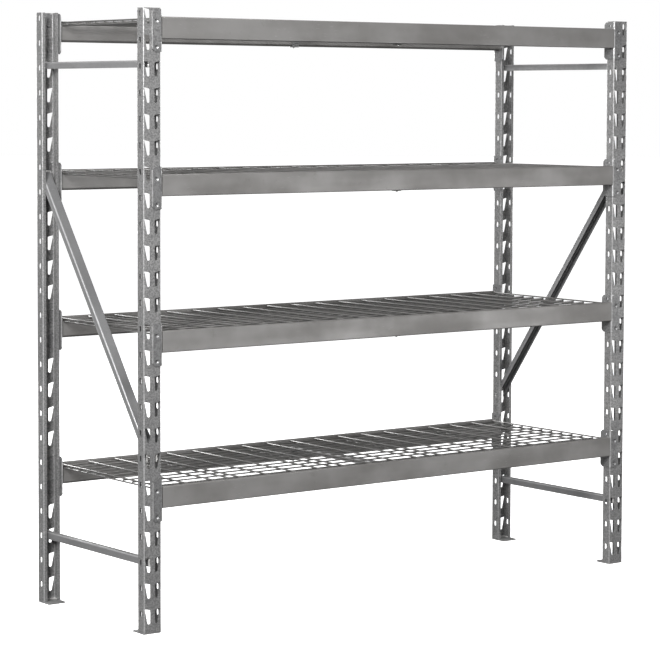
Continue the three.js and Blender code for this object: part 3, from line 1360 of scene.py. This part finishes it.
@dataclass
class ShelfLevel:
    """One level: two step beams, four hooked brackets and a screwed centre tie.

    Attributes:
        number: level, counted from the floor.
        lip, ledge, heel, beam_sheet, beam_edge: sizes of the beam's section.
        bracket_sheet, bracket_bend, bracket_above, bracket_below: bracket sizes.
        bracket_side, bracket_corner: length of the side leg and its cut corners.
        pin_radius, pin_up, pin_deep: the hole for the safety pin.
        stud_x, stud_down: place of the upper stud, from the post's middle and the beam's top.
        recess, recess_floor, recess_deep: the cone pressed into each stud.
        shank, tail: radii of the stud behind the plate.
        gap: clearance between neighbours.
        tie_sheet, tie_drop, tie_wall, tie_bend: sizes of the centre tie.
        screw_shank, screw_head, screw_hole: shank radius, head height and hole radius.
        end_bead: radius of the weld bead round each end of a beam.
    """

    number: int
    lip: float = 16 * MM
    ledge: float = 12.3 * MM
    heel: float = 6 * MM
    beam_sheet: float = 1.6 * MM
    beam_edge: float = 3 * MM
    bracket_sheet: float = 3 * MM
    bracket_bend: float = 5 * MM
    bracket_above: float = 22 * MM
    bracket_below: float = 102 * MM
    bracket_side: float = 44 * MM
    bracket_corner: float = 8 * MM
    pin_radius: float = 4 * MM
    pin_up: float = 10 * MM
    pin_deep: float = 18.5 * MM
    stud_x: float = 13.2 * MM
    stud_down: float = 13 * MM
    recess: float = 6.8 * MM
    recess_floor: float = 3.6 * MM
    recess_deep: float = 4.2 * MM
    shank: float = 4.8 * MM
    tail: float = 6.5 * MM
    gap: float = 0.3 * MM
    tie_sheet: float = 2.5 * MM
    tie_drop: float = 19 * MM
    tie_wall: float = 15 * MM
    tie_bend: float = 3.8 * MM
    screw_shank: float = 2.3 * MM
    screw_head: float = 2.6 * MM
    screw_hole: float = 2.6 * MM
    end_bead: float = 1.1 * MM

    @property
    def body(self) -> str:
        """Gives the body that the level moves with."""
        return f"shelf_{self.number}"

    def build(self) -> None:
        """Builds and dresses every piece of the level."""
        for end in End:
            self._build_beam(end)
            self._build_screw(end)
            for side in Side:
                self._build_bracket(side, end)
        self._build_tie()

    def _build_beam(self, end: End) -> None:
        """Builds one hollow step beam and the welds at its ends.

        Args:
            end: front or back beam.
        """
        node = f"beam_{self.number}_{end.value[0]}"
        low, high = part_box(node)
        hand = -end.value[1]
        face_y = low.y if hand > 0 else high.y
        deep, tall = high.y - low.y, high.z - low.z
        edge = self.beam_edge

        def section(inset: float) -> list[Vector]:
            """Gives the closed section of the tube.

            Args:
                inset: how far inside the outer face it lies.

            Returns:
                Its points, from the outer face and the top.
            """
            bend = max(edge - inset, 0.6 * MM)
            inner_bend = edge - 1.4 * MM + inset
            corners = (
                (inset, inset - tall, bend),
                (deep - self.heel - inset * 0.4, inset - tall, bend),
                (deep - inset, self.heel + inset * 0.4 - tall, bend),
                (deep - inset, -self.ledge - inset, bend),
                (self.lip - inset, -self.ledge - inset, inner_bend),
                (self.lip - inset, -inset, bend),
                (inset, -inset, bend),
            )
            return rounded(corners, 5, 0.7 * MM)

        def ring(outline: list[Vector], along: float) -> list[Vector]:
            """Puts the section at a distance along the rack."""
            return [Vector((along, face_y + hand * spot.x, high.z + spot.y)) for spot in outline]

        outer, inner = section(0.0), section(self.beam_sheet)
        rings = [ring(outer, low.x), ring(outer, high.x), ring(inner, high.x), ring(inner, low.x)]
        fit(Shape().add_rings(rings, closed=True), f"{node}_tube", self.body, BEAM_ENAMEL, node)

        beads = Shape()
        inset, proud = 1.2 * MM, 0.4 * MM
        run = (
            (edge, -inset + 0.6 * MM),
            (self.lip - inset, -inset + 0.6 * MM),
            (self.lip + proud, -self.ledge + proud),
            (deep - inset, -self.ledge + proud),
            (deep - proud, self.heel - tall),
            (deep - self.heel, proud - tall),
            (edge, proud - tall),
        )
        for along in (low.x + 0.5 * MM, high.x - 0.5 * MM):
            path = [Vector((along, face_y + hand * u, high.z + v)) for u, v in run]
            beads.add_bead(path, self.end_bead, 6)
        fit(beads, f"{node}_welds", self.body, WELD_HIGHLIGHT_ENAMEL)

    def _build_bracket(self, side: Side, end: End) -> None:
        """Builds one folded bracket plate and its two pressed studs.

        Args:
            side: left or right end frame.
            end: front or back beam.
        """
        node = f"bracket_{self.number}_{side.value[0]}_{end.value[0]}"
        post_low, post_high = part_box(f"post_{side.value[0]}_{end.value[0]}")
        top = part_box(f"beam_{self.number}_{end.value[0]}")[1].z
        hand_x, hand_y = -side.value[1], -end.value[1]
        centre_x = (post_low.x + post_high.x) / 2
        web_y = post_low.y if hand_y > 0 else post_high.y
        face = self.gap + self.bracket_sheet
        corner_x = (post_high.x - post_low.x) / 2 + face
        bend = self.bracket_bend
        section = Section(
            start=(0.0, -face),
            heading=0.0,
            runs=(corner_x - bend, self.bracket_side + face - bend),
            turns=(QUARTER,),
            radius=bend,
            sheet=self.bracket_sheet,
        )
        long = section.length()
        cut, ease = self.bracket_corner, 4 * MM
        low, high = -self.bracket_below, self.bracket_above
        corners = (
            (cut, low, ease),
            (long - cut, low, ease),
            (long, low + cut, ease),
            (long, high - cut, ease),
            (long - cut, high, ease),
            (cut, high, ease),
            (0.0, high - cut, ease),
            (0.0, low + cut, ease),
        )
        stud_heights = (-self.stud_down, -self.stud_down - ROW_PITCH)
        pin_u = section.bends()[0][1] + self.pin_deep + face - bend
        holes = [circle(self.stud_x, height, self.recess) for height in stud_heights]
        holes.append(circle(pin_u, self.pin_up, self.pin_radius))

        def place(spot: Vector, height: float) -> Vector:
            """Puts a point of the section at a height from the beam's top."""
            return Vector((centre_x + hand_x * spot.x, web_y + hand_y * spot.y, top + height))

        # A thin band along the cut edges is lightened: wear and a painted highlight.
        plate = FoldedSheet(section, rounded(corners, 3), holes, edge_rub_and_highlight=0.7 * MM)
        fit(plate.add_to(Shape(), place), f"{node}_plate", self.body, BRACKET_ENAMEL, node)

        tail_start = self.gap + POST_SHEET + face
        profile = (
            (0.2 * MM, self.recess_deep + 0.1 * MM),
            (self.recess_floor - 0.7 * MM, self.recess_deep),
            (self.recess_floor, self.recess_deep - 0.3 * MM),
            (self.recess - 0.6 * MM, 0.5 * MM),
            (self.recess, 0.0),
            (self.recess, self.bracket_sheet),
            (self.shank, self.bracket_sheet + 0.1 * MM),
            (self.shank, tail_start),
            (self.tail - 0.5 * MM, tail_start),
            (self.tail, tail_start + 0.6 * MM),
            (self.tail - 0.8 * MM, tail_start + 2.4 * MM),
            (0.2 * MM, tail_start + 2.5 * MM),
        )
        studs = Shape()
        for height in stud_heights:
            origin = place(Vector((self.stud_x, -face)), height)
            studs.add_turned(profile, origin, Vector((0, hand_y, 0)), 28)
        fit(studs, f"{node}_studs", self.body, BRACKET_ENAMEL)

    def _build_tie(self) -> None:
        """Builds the centre tie: a channel under the deck with a bent foot at each end."""
        node = f"centre_tie_{self.number}"
        low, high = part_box(node)
        front_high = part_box(f"beam_{self.number}_front")[1]
        top = front_high.z
        reach = -front_high.y - self.gap
        half = (high.x - low.x) / 2
        bend, sheet = self.tie_bend, self.tie_sheet
        tie = Shape()
        channel = Section(
            start=(half, -self.tie_drop - self.tie_wall),
            heading=QUARTER,
            runs=(self.tie_wall - bend, 2 * half - 2 * bend, self.tie_wall - bend),
            turns=(QUARTER, QUARTER),
            radius=bend,
            sheet=sheet,
        )
        top_sheet = FoldedSheet(channel, rectangle(0.0, -reach, channel.length(), reach, 2 * MM))
        top_sheet.add_to(tie, lambda spot, along: Vector((spot.x, along, top + spot.y)))
        tab_z = low.z - top
        rise = -self.tie_drop - sheet - tab_z
        tab_run = high.y - (reach - sheet) - bend
        foot = Section(
            start=(-high.y, tab_z),
            heading=0.0,
            runs=(tab_run, rise - bend),
            turns=(QUARTER,),
            radius=bend,
            sheet=sheet,
        )
        long = foot.length()
        shoulder = long - self.tie_wall + sheet - 1 * MM
        neck = half - sheet - 0.3 * MM
        outline = rounded(
            (
                (0.0, -half, 5 * MM),
                (shoulder, -half, 2 * MM),
                (shoulder, -neck, 0.5 * MM),
                (long, -neck, 0.0),
                (long, neck, 0.0),
                (shoulder, neck, 0.5 * MM),
                (shoulder, half, 2 * MM),
                (0.0, half, 5 * MM),
            ),
            3,
        )
        screw_low, screw_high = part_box(f"tie_screw_{self.number}_front")
        screw_u = (screw_low.y + screw_high.y) / 2 + high.y
        screw_hole = circle(screw_u, 0.0, self.screw_hole, 16)
        foot_shape = FoldedSheet(foot, outline, [screw_hole]).add_to(
            Shape(), lambda spot, along: Vector((along, spot.x, top + spot.y))
        )
        for hand in (1, -1):
            tie.merge(foot_shape, Matrix.Diagonal((1, hand, 1, 1)))
        fit(tie, f"{node}_channel", self.body, BRACKET_ENAMEL, node)

    def _build_screw(self, end: End) -> None:
        """Builds one hexagon washer-head screw under the tie's foot.

        Args:
            end: front or back screw.
        """
        node = f"tie_screw_{self.number}_{end.value[0]}"
        low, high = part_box(node)
        centre = (low + high) / 2
        radius = (high.x - low.x) / 2
        origin = Vector((centre.x, centre.y, high.z))
        down = Vector((0, 0, -1))
        drop = high.z - low.z
        seat = drop - self.screw_head
        screw = Shape()
        washer = (
            (0.2 * MM, 0.0),
            (self.screw_shank - 0.3 * MM, 0.2 * MM),
            (self.screw_shank, 0.6 * MM),
            (self.screw_shank, seat),
            (radius - 0.2 * MM, seat),
            (radius, seat + 0.35 * MM),
            (radius - 0.5 * MM, seat + 0.8 * MM),
            (0.2 * MM, seat + 0.9 * MM),
        )
        screw.add_turned(washer, origin, down, 24)
        across = radius * 0.78
        head = (
            (across, seat + 0.7 * MM),
            (across, drop - 0.4 * MM),
            (across * 0.86, drop - 0.05 * MM),
            (across * 0.6, drop),
            (0.2 * MM, drop - 0.3 * MM),
        )
        screw.add_turned(head, origin, down, 6)
        fit(screw, f"{node}_head", self.body, SCREW_ZINC, node)


# ---- Wire decks ------------------------------------------------------------


@dataclass
class WireDeck:
    """One loose deck: front-to-back wires welded over long wires, with support wires below.

    Attributes:
        number: level, counted from the floor.
        wire: diameter of every wire.
        cross_wires, cross_pitch: number and spacing of the front-to-back wires.
        long_wires, long_edge: number of the long wires and the reach of the outer two.
        supports: which front-to-back wires have a support wire under them.
        support_reach: half the length of a support wire.
        sink: how far a wire sinks into the one below at a weld.
    """

    number: int
    wire: float = 5 * MM
    cross_wires: int = 19
    cross_pitch: float = 99 * MM
    long_wires: int = 12
    long_edge: float = 280 * MM
    supports: tuple[int, ...] = (0, 3, 7, 11, 15, 18)
    support_reach: float = 262.5 * MM
    sink: float = 0.25 * MM

    def build(self) -> None:
        """Builds and dresses the three layers of wire and their welds."""
        node = f"wire_deck_{self.number}"
        body = f"deck_{self.number}"
        low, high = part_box(node)
        radius = self.wire / 2
        top_z = high.z - radius
        long_z = high.z - self.wire - radius
        low_z = long_z - self.wire + self.sink
        half_cross = (self.cross_wires - 1) / 2
        cross_x = [(index - half_cross) * self.cross_pitch for index in range(self.cross_wires)]
        step = 2 * self.long_edge / (self.long_wires - 1)
        long_y = [index * step - self.long_edge for index in range(self.long_wires)]

        cross, along, under, nuggets = Shape(), Shape(), Shape(), Shape()
        for x in cross_x:
            cross.add_rod(Vector((x, low.y, top_z)), Vector((x, high.y, top_z)), radius)
        for y in long_y:
            along.add_rod(Vector((low.x, y, long_z)), Vector((high.x, y, long_z)), radius)
        for index in self.supports:
            ends = [Vector((cross_x[index], hand * self.support_reach, low_z)) for hand in (-1, 1)]
            under.add_rod(ends[0], ends[1], radius)
        meeting = (top_z + long_z) / 2
        for x in cross_x:
            for y in long_y:
                self._add_nugget(nuggets, Vector((x, y, meeting)))
        fit(cross, f"{node}_cross_wires", body, WIRE_ENAMEL, node)
        fit(along, f"{node}_long_wires", body, WIRE_ENAMEL)
        fit(under, f"{node}_support_wires", body, WIRE_ENAMEL)
        fit(nuggets, f"{node}_welds", body, WIRE_ENAMEL)

    def _add_nugget(self, shape: Shape, centre: Vector) -> None:
        """Adds the squeezed weld where two wires cross.

        Args:
            shape: the shape that receives it.
            centre: where the wires meet.
        """
        wide, tall = self.wire * 0.36, self.wire * 0.3
        profile = ((wide * 0.4, -tall), (wide, -tall * 0.35), (wide, tall * 0.35), (wide * 0.4, tall))
        shape.add_turned(profile, centre, Vector((0, 0, 1)), 8)


# ---- Studio ----------------------------------------------------------------


@dataclass(frozen=True)
class Softbox:
    """One soft rectangular light.

    Attributes:
        name: name of the light.
        place: where it hangs.
        aim: the point it shines at.
        size: width and height.
        power: power in watts.
    """

    name: str
    place: Triple
    aim: Triple
    size: tuple[float, float]
    power: float

    def hang(self) -> None:
        """Hangs the light in the scene."""
        lamp = bpy.data.lights.new(self.name, "AREA")
        lamp.shape = "RECTANGLE"
        lamp.size, lamp.size_y = self.size
        lamp.energy = self.power
        made = bpy.data.objects.new(self.name, lamp)
        made.location = self.place
        aim = Vector(self.aim) - Vector(self.place)
        made.rotation_euler = aim.to_track_quat("-Z", "Y").to_euler()
        bpy.context.scene.collection.objects.link(made)


@dataclass
class Studio:
    """The pale floor, the white surroundings, the lights and the camera.

    Attributes:
        floor_reach: radius of the floor.
        floor_shade: colour of the floor.
        floor_bounce: colour of the light that the floor throws back on the rack.
        floor_glow: light added so that the far floor stays as pale as the near one.
        sky_bright, sky_dim: strength of the surroundings on each side.
        sky_towards: direction of their bright side.
        softboxes: the lights.
        eye: place of the camera.
        azimuth, pitch, roll: direction of the camera, in radians.
        sensor, lens: sensor width and focal length, in millimetres.
        shift: vertical lens shift.
    """

    floor_reach: float = 60.0
    floor_shade: Colour = (0.9, 0.9, 0.9)
    floor_bounce: Colour = (0.12, 0.12, 0.12)
    floor_glow: float = 0.85
    sky_bright: float = 1.0
    sky_dim: float = 0.1
    sky_towards: Triple = (-0.99, 0.05, 0.12)
    softboxes: tuple[Softbox, ...] = (
        Softbox("key_left", (-4.8, -3.3, 3.6), (0.0, 0.0, 1.4), (1.2, 2.8), 640.0),
        Softbox("fill_front", (-0.3, -2.7, 3.5), (0.0, 0.0, 1.8), (2.4, 1.0), 76.0),
        Softbox("fill_right", (3.4, -4.0, 0.6), (0.5, 0.0, 0.6), (2.4, 1.0), 26.0),
        Softbox("fill_back", (0.5, 6.5, 1.9), (0.0, 0.0, 0.9), (3.0, 2.0), 260.0),
        Softbox("fill_side", (6.5, 0.5, 1.7), (0.0, 0.0, 0.9), (2.0, 2.0), 140.0),
    )
    eye: Triple = (-4.892, -6.335, 1.5645)
    azimuth: float = -0.65204
    pitch: float = -0.06044
    roll: float = 0.0031
    sensor: float = 36.0
    lens: float = 135.42
    shift: float = -0.1212

    def build(self) -> None:
        """Sets up the whole studio."""
        self._build_floor()
        self._build_surroundings()
        for softbox in self.softboxes:
            softbox.hang()
        self._build_camera()
        bpy.context.scene.view_settings.view_transform = "Standard"

    def _build_floor(self) -> None:
        """Builds the plain pale floor."""
        sides = 96
        rim = circle(0.0, 0.0, self.floor_reach, sides)
        mesh = bpy.data.meshes.new("studio_floor")
        mesh.from_pydata([(point.x, point.y, CAD_LOW.z) for point in rim], [], [tuple(range(sides))])
        floor = bpy.data.objects.new("studio_floor", mesh)
        bpy.context.scene.collection.objects.link(floor)
        made, bench, shader = new_material("pale_floor")
        where = bench.node("ShaderNodeTexCoord").outputs["Object"]
        drift = bench.span(bench.noise(where, 1.3, 3.0), 0.3, 0.7)
        pale = tuple(part * 0.97 for part in self.floor_shade)
        seen = bench.node("ShaderNodeLightPath").outputs["Is Camera Ray"]
        shade = bench.blend(seen, self.floor_bounce, bench.blend(drift, self.floor_shade, pale))
        bench.feed(shader.inputs["Base Color"], shade)
        shader.inputs["Roughness"].default_value = 0.6
        shader.inputs["Specular IOR Level"].default_value = 0.1
        shader.inputs["Emission Color"].default_value = (1.0, 1.0, 1.0, 1.0)
        bench.feed(shader.inputs["Emission Strength"], bench.times(seen, self.floor_glow))
        mesh.materials.append(made)

    def _build_surroundings(self) -> None:
        """Lights the rack from a white room that is brighter on the left."""
        world = bpy.data.worlds.new("white_room")
        world.use_nodes = True
        world.node_tree.nodes.clear()
        bench = NodeBench(world.node_tree)
        where = bench.node("ShaderNodeTexCoord").outputs["Generated"]
        facing = bench.node("ShaderNodeVectorMath", operation="DOT_PRODUCT")
        bench.feed(facing.inputs[0], where)
        facing.inputs[1].default_value = self.sky_towards
        strength = bench.span(facing.outputs["Value"], -0.1, 0.95, self.sky_dim, self.sky_bright)
        seen = bench.node("ShaderNodeLightPath").outputs["Is Camera Ray"]
        unseen = bench.less(1.0, seen)
        shown = bench.plus(bench.times(strength, unseen), seen)
        light = bench.node("ShaderNodeBackground")
        light.inputs["Color"].default_value = (1.0, 1.0, 1.0, 1.0)
        bench.feed(light.inputs["Strength"], shown)
        output = bench.node("ShaderNodeOutputWorld")
        bench.feed(output.inputs["Surface"], light.outputs["Background"])
        bpy.context.scene.world = world

    def _build_camera(self) -> None:
        """Sets up the camera."""
        data = bpy.data.cameras.new("studio_camera")
        data.sensor_width = self.sensor
        data.lens = self.lens
        data.shift_y = self.shift
        data.clip_end = 200.0
        camera = bpy.data.objects.new("studio_camera", data)
        forward = Vector(
            (
                -math.sin(self.azimuth) * math.cos(self.pitch),
                math.cos(self.azimuth) * math.cos(self.pitch),
                math.sin(self.pitch),
            )
        )
        level = Vector((math.cos(self.azimuth), math.sin(self.azimuth), 0.0))
        upright = level.cross(forward)
        right = level * math.cos(self.roll) + upright * math.sin(self.roll)
        up = upright * math.cos(self.roll) - level * math.sin(self.roll)
        turn = Matrix((right, up, -forward)).transposed()
        camera.matrix_world = Matrix.Translation(self.eye) @ turn.to_4x4()
        bpy.context.scene.collection.objects.link(camera)
        bpy.context.scene.camera = camera


def main() -> None:
    """Builds the rack and its studio, and reports each piece."""
    logging.basicConfig(level=logging.INFO, format="%(name)s: %(message)s")
    Studio().build()
    for side in Side:
        EndFrame(side).build()
    levels = [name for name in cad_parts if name.startswith("wire_deck_")]
    for number in range(1, len(levels) + 1):
        ShelfLevel(number).build()
        WireDeck(number).build()


if __name__ == "__main__":
    main()
